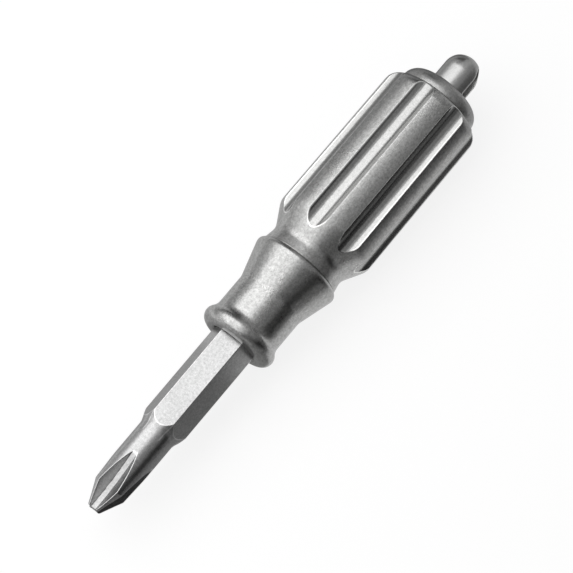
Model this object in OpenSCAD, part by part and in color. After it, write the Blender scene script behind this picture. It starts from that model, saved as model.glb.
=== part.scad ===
// Pocket screwdriver: a fluted steel grip, a turned nose with a hexagon socket, a loose bit and a swivel eye.
// The origin is the socket's mouth, on the axis. +X points to the bit's tip and +Z up through a flute.
// Every station below is a distance behind the mouth, so the bit's tip has a negative one.

/* [Driver bit] */
// Hexagon drive size across the flats
hex_af = 6.35; // [5:0.05:8]
// Whole length of the bit
bit_len = 50; // [46:0.5:56]
// Length of the bit that stands out of the nose
bit_reach = 31; // [28:0.5:34]
// Length of full hexagon that stands out of the nose
hex_show = 15; // [11:0.5:17]
// Diameter of the round shank ahead of the hexagon
shank_d = 5.72; // [5:0.02:6]
// Slope of the ground lead between shank and hexagon, degrees
lead_deg = 22; // [18:1:35]
// Fillet where the shank runs into the lead
lead_fillet = 2; // [1:0.1:3]
// Diameter of the flat on the point
point_flat_d = 2.3; // [2:0.05:2.8]
// Half angle of the point's cone, degrees
point_deg = 26; // [24:0.5:30]
// Radius of the wheel that cuts the four grooves
groove_wheel = 19.3; // [16:0.1:24]
// Distance of the grooves' floor from the axis, where it is least
groove_core = 0.62; // [0.5:0.02:0.8]
// Width of the grooves' flat floor
groove_floor = 0.76; // [0.5:0.02:1]
// Slope of the grooves' sides, degrees
groove_side_deg = 40; // [36:1:44]
// Distance from the point to where the grooves are deepest
groove_low = 0.5; // [0:0.1:1.5]
// Distance from the tail to the middle of the retaining notch
notch_from_tail = 9.05; // [8:0.05:10]
// Length of the retaining notch
notch_len = 2.6; // [2:0.1:3]
// Depth of the notch at the hexagon's corners
notch_depth = 0.42; // [0.2:0.02:0.5]
// Chamfer at the tail of a bit
tail_chamfer = 0.5; // [0.3:0.05:0.8]
// Turn of the bit and its socket about the axis, degrees from +Z
bit_turn = 5.5; // [-30:0.5:30]

/* [Nose] */
// Length of the nose from its mouth to its shoulder's rear face
nose_len = 14.9; // [13:0.1:17]
// Diameter of the rolled lip
lip_d = 12.18; // [11.4:0.02:13]
// Radius of the lip's round edge
lip_round = 1.45; // [1.1:0.05:1.7]
// Slope of the lip's back, degrees
lip_back_deg = 38; // [30:1:50]
// Fillet between the lip's back and the neck
lip_fillet = 1.9; // [1:0.1:2.2]
// Diameter of the neck
neck_d = 10.68; // [10:0.02:11.2]
// Fillet between the neck and the flare
neck_fillet = 2; // [1:0.1:3]
// Slope of the flare behind the neck, degrees
flare_deg = 16.2; // [12:0.1:20]
// Diameter of the shoulder's crest
shoulder_d = 13.88; // [13:0.02:15]
// Radius that leads the flare onto the crest
crest_round = 1.7; // [1:0.1:2.5]
// Radius of the shoulder's rear edge
shoulder_round = 0.75; // [0.5:0.05:1]
// Clearance of a bit's flats in the socket, on each side
socket_clear = 0.05; // [0.02:0.01:0.1]
// Chamfer at the mouth of the socket
mouth_chamfer = 0.3; // [0.1:0.05:0.5]
// Wall of the threaded spigot outside the socket's corners
spigot_wall = 1.18; // [1:0.02:1.3]
// Least length of the spigot behind the shoulder, which reaches further where the magnet sits deeper
spigot_len = 6.25; // [5:0.05:8]

/* [Magnet] */
// Diameter of the disc magnet behind the bit
magnet_d = 7.2; // [6.9:0.1:7.6]
// Thickness of the magnet
magnet_t = 1.5; // [1:0.1:1.6]
// Thickness of the steel disc behind the magnet
backing_t = 0.6; // [0.4:0.05:0.6]

/* [Grip] */
// Length of the grip from the nose's shoulder to the cap's seat
grip_len = 31.7; // [30:0.1:36]
// Diameter of the waist at the nose's shoulder
waist_front_d = 12.84; // [12.5:0.02:13.2]
// Diameter of the waist where the cone would meet it without the fillet
waist_d = 12.04; // [11.6:0.02:12.4]
// Length of the waist, from the nose's shoulder to the cone
waist_len = 2.2; // [1.8:0.01:2.6]
// Fillet between waist and cone
waist_fillet = 2; // [1.5:0.1:2.6]
// Slope of the cone behind the waist, degrees
cone_deg = 29.1; // [25:0.1:40]
// Diameter of the grip at its front
grip_front_d = 16.1; // [15.6:0.02:17]
// Diameter of the grip at its rear
grip_rear_d = 15.9; // [15.4:0.02:17]
// Radius that leads the cone onto the grip
grip_front_round = 2.5; // [1.5:0.1:3]
// Radius of the grip's rear shoulder
grip_rear_round = 1.9; // [1.4:0.05:2.1]
// Number of flutes round the grip
flutes = 8; // [6:1:10]
// Radius of the cutter that makes a flute
flute_r = 2; // [1.6:0.05:2.4]
// Distance of a flute's floor from the axis
flute_floor = 7.06; // [6.9:0.02:7.3]
// Clearance of the spare bit's corners in its chamber, on each side
chamber_clear = 0.53; // [0.3:0.01:0.7]
// Running clearance between turned pieces, on each side
turned_clear = 0.05; // [0.02:0.01:0.08]
// Chamfer at the grip's bores
bore_chamfer = 0.2; // [0.1:0.05:0.3]

/* [End cap] */
// Diameter of the cap's rim
cap_d = 12.6; // [12.2:0.02:13]
// Height of the cap behind the grip
cap_len = 2.5; // [2.3:0.05:3.2]
// Radius of the cap's crown edge
cap_round = 2.1; // [1.5:0.05:2.2]
// Wall of the cap's threaded skirt, outside the spare bit's chamber
skirt_wall = 1.4; // [1.2:0.02:1.6]
// Length of the skirt inside the grip
skirt_len = 3.8; // [3.4:0.1:4.6]
// Depth of the cap's floor behind its seat
cap_floor = 0.3; // [0.2:0.05:0.5]

/* [Seals and cushion] */
// Cord thickness of the two seal rings
ring_cord = 1; // [0.8:0.05:1]
// Squeeze of a seal ring in its groove, on each side
ring_squeeze = 0.05; // [0.02:0.01:0.1]
// Distance from a seat to the seal groove behind it
ring_set = 0.4; // [0.3:0.05:0.6]
// Thickness of the soft disc in front of the spare bit
cushion_t = 0.5; // [0.3:0.05:0.6]
// Air between two seated pieces that are not pressed together
seat_air = 0.05; // [0.03:0.01:0.08]

/* [Swivel eye] */
// Diameter of the eye post
post_d = 6.02; // [5.6:0.02:6.4]
// Distance from the cap's crown to the centre of the post's round end
post_rise = 3.3; // [3:0.05:4]
// Width of the window through the post
window_w = 3; // [2.6:0.05:3.4]
// Distance from the cap's crown to the centre of the window's arch
arch_rise = 4.2; // [3.9:0.05:4.4]
// Thickness of the post's foot under the window
foot_t = 0.4; // [0.35:0.05:0.6]
// Radius of the window's lower corners
window_corner = 0.5; // [0.3:0.05:0.8]
// Turn of the window about the axis, degrees from +Y
eye_turn = 5; // [-45:1:45]
// Diameter of the post's stem through the cap
stem_d = 3; // [2.6:0.05:3.4]
// Diameter of the washer under the post
washer_d = 6.2; // [6:0.05:6.6]
// Thickness of that washer
washer_t = 0.2; // [0.15:0.01:0.25]
// Diameter of the collar that holds the stem
collar_d = 5; // [4.6:0.05:5.6]
// Thickness of the collar
collar_t = 0.7; // [0.6:0.05:0.8]

/* [Spare bit] */
// Play of the spare insert bit along its chamber, which sets how long the bit is
spare_play = 0.15; // [0.1:0.05:0.6]
// Length of its hexagon
spare_hex_len = 13; // [11:0.5:16]
// Diameter of its round neck, which is the blade's width
blade_w = 5.5; // [4:0.1:5.6]
// Thickness of the blade's edge
blade_t = 1; // [0.6:0.05:1.2]
// Slope of the blade's faces, degrees
blade_deg = 16; // [12:1:22]

/* [Hidden] */
$fn = 96;

// Overrun of every cut past the face that it leaves
over = 1;
// Points along an arc of a turned outline
arc_steps = 10;
// Grooves of a cross point
cross_grooves = 4;

hex_r = hex_af / 2 / cos(30);
socket_r = (hex_af / 2 + socket_clear) / cos(30);
bit_tip = -bit_reach;
bit_tail = bit_len - bit_reach;
lip_r = lip_d / 2;
neck_r = neck_d / 2;
crest_r = shoulder_d / 2;
spigot_r = socket_r + spigot_wall;
magnet_seat = bit_tail + seat_air;
magnet_back = magnet_seat + magnet_t;
magnet_r = magnet_d / 2;
spigot_end = max(nose_len + spigot_len, magnet_back + backing_t);
waist_r = waist_d / 2;
seat = nose_len + grip_len;
chamber_r = hex_r + chamber_clear;
skirt_r = chamber_r + skirt_wall;
skirt_end = seat - skirt_len;
cap_r = cap_d / 2;
crown = seat + cap_len;
floor_at = seat + cap_floor;
post_r = post_d / 2;
post_foot = crown + seat_air;
stem_r = stem_d / 2;
collar_front = floor_at;
collar_back = collar_front + collar_t;
washer_back = crown;
washer_front = washer_back - washer_t;
cushion_front = spigot_end + seat_air;
cushion_back = cushion_front + cushion_t;
spare_tip = cushion_back + seat_air;
spare_tail = floor_at - spare_play;
cone_run = (grip_front_d / 2 - waist_r) / tan(cone_deg);

function unit(v) = v / norm(v);
function cross2(a, b) = a[0] * b[1] - a[1] * b[0];
function turned_by(v, angle) = [v[0] * cos(angle) - v[1] * sin(angle), v[0] * sin(angle) + v[1] * cos(angle)];

// Points of the arc that rounds corner b between a and c, or b itself where its radius is zero
function corner(a, b, c) =
    let(u = unit([a[0] - b[0], a[1] - b[1]]),
        v = unit([c[0] - b[0], c[1] - b[1]]),
        bend = 180 - acos(max(-1, min(1, u * v))),
        side = cross2(u, v) > 0 ? -1 : 1,
        reach = b[2] * tan(bend / 2),
        start = [b[0], b[1]] + u * reach,
        centre = [b[0], b[1]] + unit(u + v) * b[2] / cos(bend / 2))
    b[2] == 0 || bend < 0.01 ? [[b[0], b[1]]] :
    [for (i = [0 : arc_steps]) centre + turned_by(start - centre, side * bend * i / arc_steps)];

// A closed outline of corners, each [radius from the axis, station, rounding]
function outline(corners) =
    let(n = len(corners))
    [for (i = [0 : n - 1]) each corner(corners[(i + n - 1) % n], corners[i], corners[(i + 1) % n])];

// Lays what is drawn along +Z, with the mouth at zero, along the tool's axis
module along_axis(turn = 0) {
    rotate([turn, 0, 0]) rotate([0, -90, 0]) children();
}

// A solid of revolution about the tool's axis
module turned(corners) {
    along_axis() rotate_extrude() polygon(outline(corners));
}

// A hexagonal bar between two stations, with a flat facing up before its turn
module hex_bar(radius, front, back, turn) {
    along_axis(-turn)
        translate([0, 0, front]) rotate([0, 0, 30]) cylinder(h = back - front, r = radius, $fn = 6);
}

// A round bar or bore between two stations
module round_bar(radius, front, back) {
    along_axis() translate([0, 0, front]) cylinder(h = back - front, r = radius);
}

// One wheel-cut groove of the cross point, over the axis toward up
module point_groove(angle) {
    height = shank_d;
    flank = height * tan(groove_side_deg);
    along_axis(-angle)
        translate([groove_core + groove_wheel, 0, bit_tip + groove_low])
            rotate([90, 0, 0])
                rotate_extrude()
                    polygon([[groove_wheel, -groove_floor / 2], [groove_wheel, groove_floor / 2],
                             [groove_wheel - height, groove_floor / 2 + flank],
                             [groove_wheel - height, -groove_floor / 2 - flank]]);
}

module driver_bit() {
    shank_r = shank_d / 2;
    flat_r = point_flat_d / 2;
    cone_end = bit_tip + (shank_r - flat_r) / tan(point_deg);
    lead_start = -hex_show - (hex_r - shank_r) / tan(lead_deg);
    notch_front = bit_tail - notch_from_tail - notch_len / 2;
    notch_back = notch_front + notch_len;
    notch_r = hex_r - notch_depth;
    color("silver") difference() {
        intersection() {
            turned([[0, bit_tip, 0], [flat_r, bit_tip, 0], [shank_r, cone_end, 0],
                    [shank_r, lead_start, lead_fillet], [hex_r, -hex_show, 0],
                    [hex_r, notch_front, 0], [notch_r, notch_front + tail_chamfer, 0],
                    [notch_r, notch_back - tail_chamfer, 0], [hex_r, notch_back, 0],
                    [hex_r, bit_tail - tail_chamfer, 0], [hex_r - tail_chamfer, bit_tail, 0],
                    [0, bit_tail, 0]]);
            hex_bar(hex_r, bit_tip - over, bit_tail + over, bit_turn);
        }
        for (i = [0 : cross_grooves - 1]) point_groove(bit_turn + 360 / cross_grooves * i);
    }
}

module nose_holder() {
    crest_at = nose_len - shoulder_round;
    flare_top = crest_at - crest_round * tan(flare_deg / 2);
    flare_foot = flare_top - (crest_r - neck_r) / tan(flare_deg);
    back_len = (lip_r - neck_r) / sin(lip_back_deg);
    back_share = min(1, back_len / (lip_round + lip_fillet) / tan(lip_back_deg / 2));
    back_round = lip_round * back_share;
    foot_round = lip_fillet * back_share;
    lip_back = lip_round + back_round * tan(lip_back_deg / 2);
    lip_foot = lip_back + (lip_r - neck_r) / tan(lip_back_deg);
    groove_at = nose_len + ring_set;
    groove_r = spigot_r + turned_clear - ring_cord + 2 * ring_squeeze;
    color("gainsboro") difference() {
        turned([[0, 0, 0], [lip_r, 0, lip_round], [lip_r, lip_back, back_round],
                [neck_r, lip_foot, foot_round], [neck_r, flare_foot, neck_fillet],
                [crest_r, flare_top, crest_round], [crest_r, nose_len, shoulder_round],
                [spigot_r, nose_len, 0], [spigot_r, groove_at, 0], [groove_r, groove_at, 0],
                [groove_r, groove_at + ring_cord, 0], [spigot_r, groove_at + ring_cord, 0],
                [spigot_r, spigot_end - bore_chamfer, 0], [spigot_r - bore_chamfer, spigot_end, 0],
                [0, spigot_end, 0]]);
        hex_bar(socket_r, -over, magnet_seat, bit_turn);
        turned([[0, -over, 0], [hex_r + mouth_chamfer + over, -over, 0],
                [hex_r - mouth_chamfer, 2 * mouth_chamfer, 0], [0, 2 * mouth_chamfer, 0]]);
        round_bar(magnet_r + turned_clear, magnet_seat, spigot_end + over);
    }
}

module socket_magnet() {
    color("lightsteelblue") round_bar(magnet_r, magnet_seat, magnet_back);
}

module magnet_backing() {
    color("darkgray") round_bar(magnet_r, magnet_back, magnet_back + backing_t);
}

// A seal ring squeezed in its groove: inner and outer radius, and the station of its middle
module seal_ring(inner, outer, middle) {
    thick = outer - inner;
    along_axis() translate([0, 0, middle])
        rotate_extrude() translate([inner + thick / 2, 0]) circle(d = thick, $fn = 32);
}

module nose_o_ring() {
    bore = spigot_r + turned_clear;
    inner = bore - ring_cord + 2 * ring_squeeze + seat_air;
    color("dimgray") seal_ring(inner, bore - seat_air / 2, nose_len + ring_set + ring_cord / 2);
}

module grip_body() {
    front_r = grip_front_d / 2;
    rear_r = grip_rear_d / 2;
    bore_r = spigot_r + turned_clear;
    skirt_bore = skirt_r + turned_clear;
    cone_front = nose_len + waist_len;
    rear_round = min(grip_rear_round, rear_r - skirt_bore - bore_chamfer);
    color("gray") difference() {
        turned([[bore_r + bore_chamfer, nose_len, 0], [waist_front_d / 2, nose_len, 0],
                [waist_r, cone_front, waist_fillet], [front_r, cone_front + cone_run, grip_front_round],
                [rear_r, seat, rear_round],
                [skirt_bore + bore_chamfer, seat, 0], [skirt_bore, seat - bore_chamfer, 0],
                [skirt_bore, skirt_end - turned_clear, 0], [chamber_r, skirt_end - turned_clear, 0],
                [chamber_r, spigot_end, 0], [bore_r, spigot_end, 0], [bore_r, nose_len + bore_chamfer, 0]]);
        for (i = [0 : flutes - 1])
            along_axis(360 / flutes * i)
                translate([flute_floor + flute_r, 0, cone_front]) cylinder(h = grip_len, r = flute_r);
    }
}

module bit_cushion() {
    color("darkslategray") round_bar(chamber_r - seat_air, cushion_front, cushion_back);
}

module spare_bit() {
    neck_r = blade_w / 2;
    hex_front = spare_tail - spare_hex_len;
    lead_start = hex_front - (hex_r - neck_r) / tan(lead_deg);
    wedge = spare_tail - spare_tip;
    spread = blade_t / 2 + wedge * tan(blade_deg);
    color("silver") intersection() {
        turned([[0, spare_tip, 0], [neck_r, spare_tip, 0], [neck_r, lead_start, 0], [hex_r, hex_front, 0],
                [hex_r, spare_tail - tail_chamfer, 0], [hex_r - tail_chamfer, spare_tail, 0],
                [0, spare_tail, 0]]);
        hex_bar(hex_r, spare_tip - over, spare_tail + over, 0);
        along_axis() rotate([90, 0, 0]) translate([0, 0, -hex_af])
            linear_extrude(2 * hex_af)
                polygon([[-blade_t / 2, spare_tip], [blade_t / 2, spare_tip], [spread, spare_tail],
                         [-spread, spare_tail]]);
    }
}

module end_cap() {
    groove_back = seat - ring_set;
    groove_front = groove_back - ring_cord;
    groove_r = skirt_r + turned_clear - ring_cord + 2 * ring_squeeze;
    crown_round = min(cap_round, cap_len);
    recess_r = washer_d / 2 + seat_air;
    color("darkgray") difference() {
        turned([[0, crown, 0], [cap_r, crown, crown_round], [cap_r, seat, 0], [skirt_r, seat, 0],
                [skirt_r, groove_back, 0], [groove_r, groove_back, 0], [groove_r, groove_front, 0],
                [skirt_r, groove_front, 0], [skirt_r, skirt_end + bore_chamfer, 0],
                [skirt_r - bore_chamfer, skirt_end, 0], [0, skirt_end, 0]]);
        round_bar(chamber_r, skirt_end - over, floor_at);
        round_bar(collar_d / 2 + seat_air, floor_at - over, collar_back + seat_air);
        round_bar(stem_r + turned_clear, floor_at, crown + over);
        round_bar(recess_r, washer_front, crown + over);
    }
}

module cap_o_ring() {
    bore = skirt_r + turned_clear;
    inner = bore - ring_cord + 2 * ring_squeeze + seat_air;
    color("dimgray") seal_ring(inner, bore - seat_air / 2, seat - ring_set - ring_cord / 2);
}

module thrust_washer() {
    color("tan") difference() {
        round_bar(washer_d / 2, washer_front, washer_back);
        round_bar(stem_r + turned_clear, washer_front - over, washer_back + over);
    }
}

// Outline of the window: an arch over straight sides and round lower corners
module window_outline() {
    half = window_w / 2;
    arch = crown + arch_rise;
    sill = post_foot + foot_t;
    translate([0, arch]) circle(r = half);
    translate([-half, sill + window_corner]) square([window_w, arch - sill - window_corner]);
    translate([-half + window_corner, sill]) square([window_w - 2 * window_corner, arch - sill]);
    for (side = [-1, 1])
        translate([side * (half - window_corner), sill + window_corner]) circle(r = window_corner);
}

module eye_post() {
    dome = crown + post_rise;
    color("lightgray") difference() {
        union() {
            round_bar(post_r, post_foot, dome);
            along_axis() translate([0, 0, dome]) sphere(r = post_r);
            round_bar(stem_r, collar_front, post_foot + foot_t / 2);
        }
        along_axis(-eye_turn) rotate([90, 0, 0]) translate([0, 0, -post_r - over])
            linear_extrude(post_d + 2 * over) window_outline();
    }
}

module post_collar() {
    color("darkgray") difference() {
        round_bar(collar_d / 2, collar_front, collar_back);
        round_bar(stem_r, collar_front - over, collar_back + over);
    }
}

driver_bit();
nose_holder();
socket_magnet();
magnet_backing();
nose_o_ring();
grip_body();
bit_cushion();
spare_bit();
end_cap();
cap_o_ring();
thrust_washer();
eye_post();
post_collar();
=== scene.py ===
"""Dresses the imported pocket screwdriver, piece by piece, on a pale floor under one large soft light."""

import itertools
import logging
import math
from collections.abc import Sequence
from dataclasses import dataclass
from enum import Enum
from typing import ClassVar

import bmesh
import bpy
import numpy as np
from mathutils import Matrix, Vector


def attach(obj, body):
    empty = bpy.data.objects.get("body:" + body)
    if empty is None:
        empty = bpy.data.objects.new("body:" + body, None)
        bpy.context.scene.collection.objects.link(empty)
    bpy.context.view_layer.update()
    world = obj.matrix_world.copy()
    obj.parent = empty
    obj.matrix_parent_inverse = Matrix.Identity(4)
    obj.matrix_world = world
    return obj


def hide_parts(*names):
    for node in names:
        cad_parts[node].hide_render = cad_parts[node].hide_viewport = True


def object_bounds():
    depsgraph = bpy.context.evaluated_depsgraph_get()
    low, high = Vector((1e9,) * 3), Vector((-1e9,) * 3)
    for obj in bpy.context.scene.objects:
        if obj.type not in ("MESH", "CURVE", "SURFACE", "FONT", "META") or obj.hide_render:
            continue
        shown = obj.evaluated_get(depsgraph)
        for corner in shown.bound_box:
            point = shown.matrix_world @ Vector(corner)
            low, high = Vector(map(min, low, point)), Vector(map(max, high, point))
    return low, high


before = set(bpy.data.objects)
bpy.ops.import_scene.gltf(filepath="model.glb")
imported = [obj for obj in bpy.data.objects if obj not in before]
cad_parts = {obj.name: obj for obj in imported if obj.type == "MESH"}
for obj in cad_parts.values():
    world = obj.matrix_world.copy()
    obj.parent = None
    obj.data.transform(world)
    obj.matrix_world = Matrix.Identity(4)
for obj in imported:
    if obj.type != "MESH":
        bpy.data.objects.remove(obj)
CAD_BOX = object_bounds()

LOG = logging.getLogger("screwdriver")
MM = 0.001
MERGE_DISTANCE = 1e-6
SHARP_DEG = 35.0
ARC_STEP_DEG = 5.0
STRAIGHT_BEND = 1e-4
TURNS = 192
HEX_SIDES = 6
HALF_SIDE_DEG = 180 / HEX_SIDES
HEX_TURN = 5.5
EYE_TURN = 5.0
SEAT_AIR = 0.05
TURNED_CLEAR = 0.05
CHAMFER = 0.2
HEX_IN = 3.175
HEX_OUT = HEX_IN / math.cos(math.radians(HALF_SIDE_DEG))
NOSE_LENGTH = 14.9
SPIGOT_END = 21.15
SKIRT_END = 42.8
GRIP_END = 46.6
CROWN = 49.1
CHAMBER = 4.196
THREAD_PITCH = 1.0
THREAD_DEPTH = 0.26
RIDGE_STEPS = 48
RIDGE_SUNK = 0.04
RIDGE_FLAT_SHARE = 0.08
RIDGE_FOOT_SHARE = 0.42

Point = tuple[float, float]


@dataclass(frozen=True)
class Corner:
    """One corner of a turned outline: its radius, its distance behind the mouth and its rounding, in mm."""

    radius: float
    station: float
    rounding: float = 0.0


def rounded(before: Corner, corner: Corner, after: Corner) -> list[Point]:
    """Gives the points of one corner of an outline.

    Args:
        before: The corner ahead of it.
        corner: The corner to round.
        after: The corner behind it.

    Returns:
        Points along its arc, or the corner alone where it isn't rounded.
    """
    at = np.array([corner.radius, corner.station])
    u = np.array([before.radius, before.station]) - at
    v = np.array([after.radius, after.station]) - at
    u, v = u / np.linalg.norm(u), v / np.linalg.norm(v)
    bend = math.pi - math.acos(max(-1.0, min(1.0, float(u @ v))))
    if corner.rounding == 0 or bend < STRAIGHT_BEND:
        return [(corner.radius, corner.station)]
    centre = at + (u + v) / np.linalg.norm(u + v) * corner.rounding / math.cos(bend / 2)
    start = at + u * corner.rounding * math.tan(bend / 2) - centre
    side = -1.0 if u[0] * v[1] - u[1] * v[0] > 0 else 1.0
    steps = max(3, math.ceil(math.degrees(bend) / ARC_STEP_DEG))
    points = []
    for i in range(steps + 1):
        c, s = math.cos(side * bend * i / steps), math.sin(side * bend * i / steps)
        points.append((centre[0] + start[0] * c - start[1] * s, centre[1] + start[0] * s + start[1] * c))
    return points


def outline(corners: Sequence[Corner], closed: bool) -> list[Point]:
    """Rounds the corners of an outline.

    Args:
        corners: Its corners in order.
        closed: Whether the last corner is joined to the first, which the points then repeat.

    Returns:
        Its points, each a radius and a station in millimetres.
    """
    count = len(corners)
    points: list[Point] = []
    for i, corner in enumerate(corners):
        if closed or 0 < i < count - 1:
            points += rounded(corners[i - 1], corner, corners[(i + 1) % count])
        else:
            points.append((corner.radius, corner.station))
    return points + points[:1] if closed else points


def divided(points: Sequence[Point], step: float, straight: float = 10.0,
            straight_step: float = 1.0) -> list[Point]:
    """Divides the stretches of an outline, so that its shading stays with the form.

    Args:
        points: The outline's points.
        step: The longest stretch that stays, in millimetres.
        straight: The length from which a stretch counts as a plain run.
        straight_step: The longest stretch that stays on a plain run.

    Returns:
        The outline with points added.
    """
    out = [points[0]]
    for a, b in zip(points, points[1:]):
        run = math.dist(a, b)
        count = max(1, math.ceil(run / (straight_step if run > straight else step)))
        out += [(a[0] + (b[0] - a[0]) * i / count, a[1] + (b[1] - a[1]) * i / count)
                for i in range(1, count + 1)]
    return out


def on_axis(radius: float, station: float, angle_deg: float = 0.0) -> Vector:
    """Places a point from its radius and station in millimetres and its angle from +Z toward +Y."""
    angle = math.radians(angle_deg)
    return Vector((-station, radius * math.sin(angle), radius * math.cos(angle))) * MM


def lathe(bm: bmesh.types.BMesh, points: Sequence[Point], start_deg: float = 0.0,
          turns: int = TURNS) -> None:
    """Spins an outline about the tool's axis.

    Args:
        bm: The mesh that it is added to.
        points: The outline, in radii and stations.
        start_deg: The angle of its first seam.
        turns: How many steps a full turn has.
    """
    verts = [bm.verts.new(on_axis(r, s, start_deg)) for r, s in points]
    edges = [bm.edges.new(pair) for pair in zip(verts, verts[1:])]
    bmesh.ops.spin(bm, geom=verts + edges, cent=(0, 0, 0), axis=(1, 0, 0), dvec=(0, 0, 0),
                   angle=2 * math.pi, steps=turns, use_merge=True, use_duplicate=False)


def thread_ridge(bm: bmesh.types.BMesh, root: float, crest: float, front: float, back: float) -> None:
    """Winds one thread ridge between two stations, sunk a little into the wall that carries it.

    Args:
        bm: The mesh that it is added to.
        root: Radius of the wall.
        crest: Radius of the ridge's top.
        front: Station of its first turn.
        back: Station of its last turn.
    """
    sunk = root - math.copysign(RIDGE_SUNK, crest - root)
    flat, foot = THREAD_PITCH * RIDGE_FLAT_SHARE, THREAD_PITCH * RIDGE_FOOT_SHARE
    shape = [(sunk, -foot), (crest, -flat), (crest, flat), (sunk, foot)]
    windings = (back - front - 2 * foot) / THREAD_PITCH
    verts = [bm.verts.new(on_axis(r, front + foot + s)) for r, s in shape]
    edges = [bm.edges.new((verts[i], verts[(i + 1) % 4])) for i in range(4)]
    first = bm.faces.new(verts)
    steps = math.ceil(RIDGE_STEPS * windings)
    made = bmesh.ops.spin(bm, geom=verts + edges, cent=(0, 0, 0), axis=(1, 0, 0),
                          dvec=(-THREAD_PITCH * windings / steps * MM, 0, 0), angle=2 * math.pi * windings,
                          steps=steps, use_duplicate=False)["geom_last"]
    bmesh.ops.contextual_create(bm, geom=[g for g in made if isinstance(g, bmesh.types.BMEdge)])
    first.normal_update()


def full_turn(half: np.ndarray, sectors: int, turn_deg: float) -> np.ndarray:
    """Repeats half a sector round the axis, mirrored at its middle and at its borders.

    Args:
        half: Rows from the sector's middle to its border: places along and across the middle, and masks.
        sectors: How many sectors fill the turn.
        turn_deg: The first middle's angle from +Z toward +Y.

    Returns:
        Rows round the whole turn, the first one repeated at the end: y, z and the masks.
    """
    rows = []
    for k in range(sectors):
        for side, part in ((1, half[:-1]), (-1, half[:0:-1])):
            angle = math.radians(turn_deg + 360 / sectors * (k + (side < 0)))
            along, across = part[:, 0], part[:, 1] * side
            rows.append(np.column_stack([along * math.sin(angle) + across * math.cos(angle),
                                         along * math.cos(angle) - across * math.sin(angle), part[:, 2:]]))
    ring = np.vstack(rows)
    return np.vstack([ring, ring[:1]])


def loft(bm: bmesh.types.BMesh, rings: Sequence[np.ndarray], masks: Sequence[str] = ()) -> None:
    """Wraps a grid over a row of rings.

    Args:
        bm: The mesh that it is added to.
        rings: For each ring its points in millimetres, x, y and z, then the masks.
        masks: The names of the masks, which become attributes of the vertices.
    """
    across, along = len(rings[0]), len(rings)
    grid = bmesh.ops.create_grid(bm, x_segments=across - 1, y_segments=along - 1, size=1.0)["verts"]
    layers = [bm.verts.layers.float.new(name) for name in masks]
    grid = list(bm.verts)[-len(grid):] if masks else grid
    table = np.stack(rings)
    for vert in grid:
        i = round((vert.co.x + 1) / 2 * (across - 1))
        j = round((vert.co.y + 1) / 2 * (along - 1))
        vert.co = Vector(table[j, i, :3]) * MM
        for m, layer in enumerate(layers):
            vert[layer] = table[j, i, 3 + m]


def soft_least(a: np.ndarray, b: np.ndarray, width: np.ndarray) -> np.ndarray:
    """Takes the lesser of two surfaces, with the edge between them rounded over a width."""
    return np.minimum(a, b) - np.maximum(width - np.abs(a - b), 0) ** 2 / (4 * width)


def lanes(edge: float, lines: Sequence[float], inside: Sequence[float], outside: Sequence[float],
          border: float) -> np.ndarray:
    """Gives the angles of half a sector's columns, with lines close to an edge.

    Args:
        edge: The edge's angle in radians.
        lines: The lines' angles from the edge.
        inside: Shares of the way from the middle to the first line.
        outside: Shares of the way from the last line to the border.
        border: The border's angle.

    Returns:
        The angles in radians.
    """
    close = edge + np.array(lines)
    return np.concatenate([np.array(inside) * close[0], close,
                           close[-1] + np.array(outside) * (border - close[-1])])


def linked(name: str, bm: bmesh.types.BMesh, material: bpy.types.Material) -> bpy.types.Object:
    """Makes an object of a mesh and puts it in the scene.

    Args:
        name: Its name.
        bm: Its mesh, which is freed.
        material: Its material.

    Returns:
        The object.
    """
    mesh = bpy.data.meshes.new(name)
    bm.to_mesh(mesh)
    bm.free()
    mesh.materials.append(material)
    made = bpy.data.objects.new(name, mesh)
    bpy.context.scene.collection.objects.link(made)
    return made


class NodeSketch:
    """Lays out the nodes of one material or node group."""

    def __init__(self, tree: bpy.types.NodeTree) -> None:
        """Starts on a tree, emptied first."""
        self.tree = tree
        tree.nodes.clear()

    def add(self, kind: str, values: dict[str | int, object] | None = None,
            **settings: object) -> bpy.types.Node:
        """Adds a node.

        Args:
            kind: Its type, without the leading ShaderNode.
            values: Its inputs by name or number: a socket to link, or a value to set.
            settings: Its properties.

        Returns:
            The node.
        """
        node = self.tree.nodes.new(kind if kind.startswith("Node") else "ShaderNode" + kind)
        for key, value in settings.items():
            setattr(node, key, value)
        for key, value in (values or {}).items():
            if isinstance(value, bpy.types.NodeSocket):
                self.tree.links.new(value, node.inputs[key])
            else:
                node.inputs[key].default_value = value
        return node

    def math(self, operation: str, a: object, b: object) -> bpy.types.NodeSocket:
        """Adds a sum, product or other step of arithmetic and gives its result."""
        return self.add("Math", {0: a, 1: b}, operation=operation).outputs[0]

    def blend(self, a: object, a_share: object, b: object, b_share: object) -> bpy.types.NodeSocket:
        """Adds two values, each times its share."""
        return self.math("ADD", self.math("MULTIPLY", a, a_share), self.math("MULTIPLY", b, b_share))

    def ramp(self, value: object, low: float, high: float, to_low: float = 0.0,
             to_high: float = 1.0) -> bpy.types.NodeSocket:
        """Maps a value from one range to another, held at its ends."""
        return self.add("MapRange", {"Value": value, "From Min": low, "From Max": high, "To Min": to_low,
                                     "To Max": to_high}).outputs["Result"]

    def give(self, result: bpy.types.Node, **values: bpy.types.NodeSocket) -> bpy.types.NodeTree:
        """Links a group's results to its output node and gives its tree.

        Args:
            result: The group's output node.
            values: The results by the names of their outputs.

        Returns:
            The group's tree.
        """
        for name, value in values.items():
            self.tree.links.new(value, result.inputs[name])
        return self.tree


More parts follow.
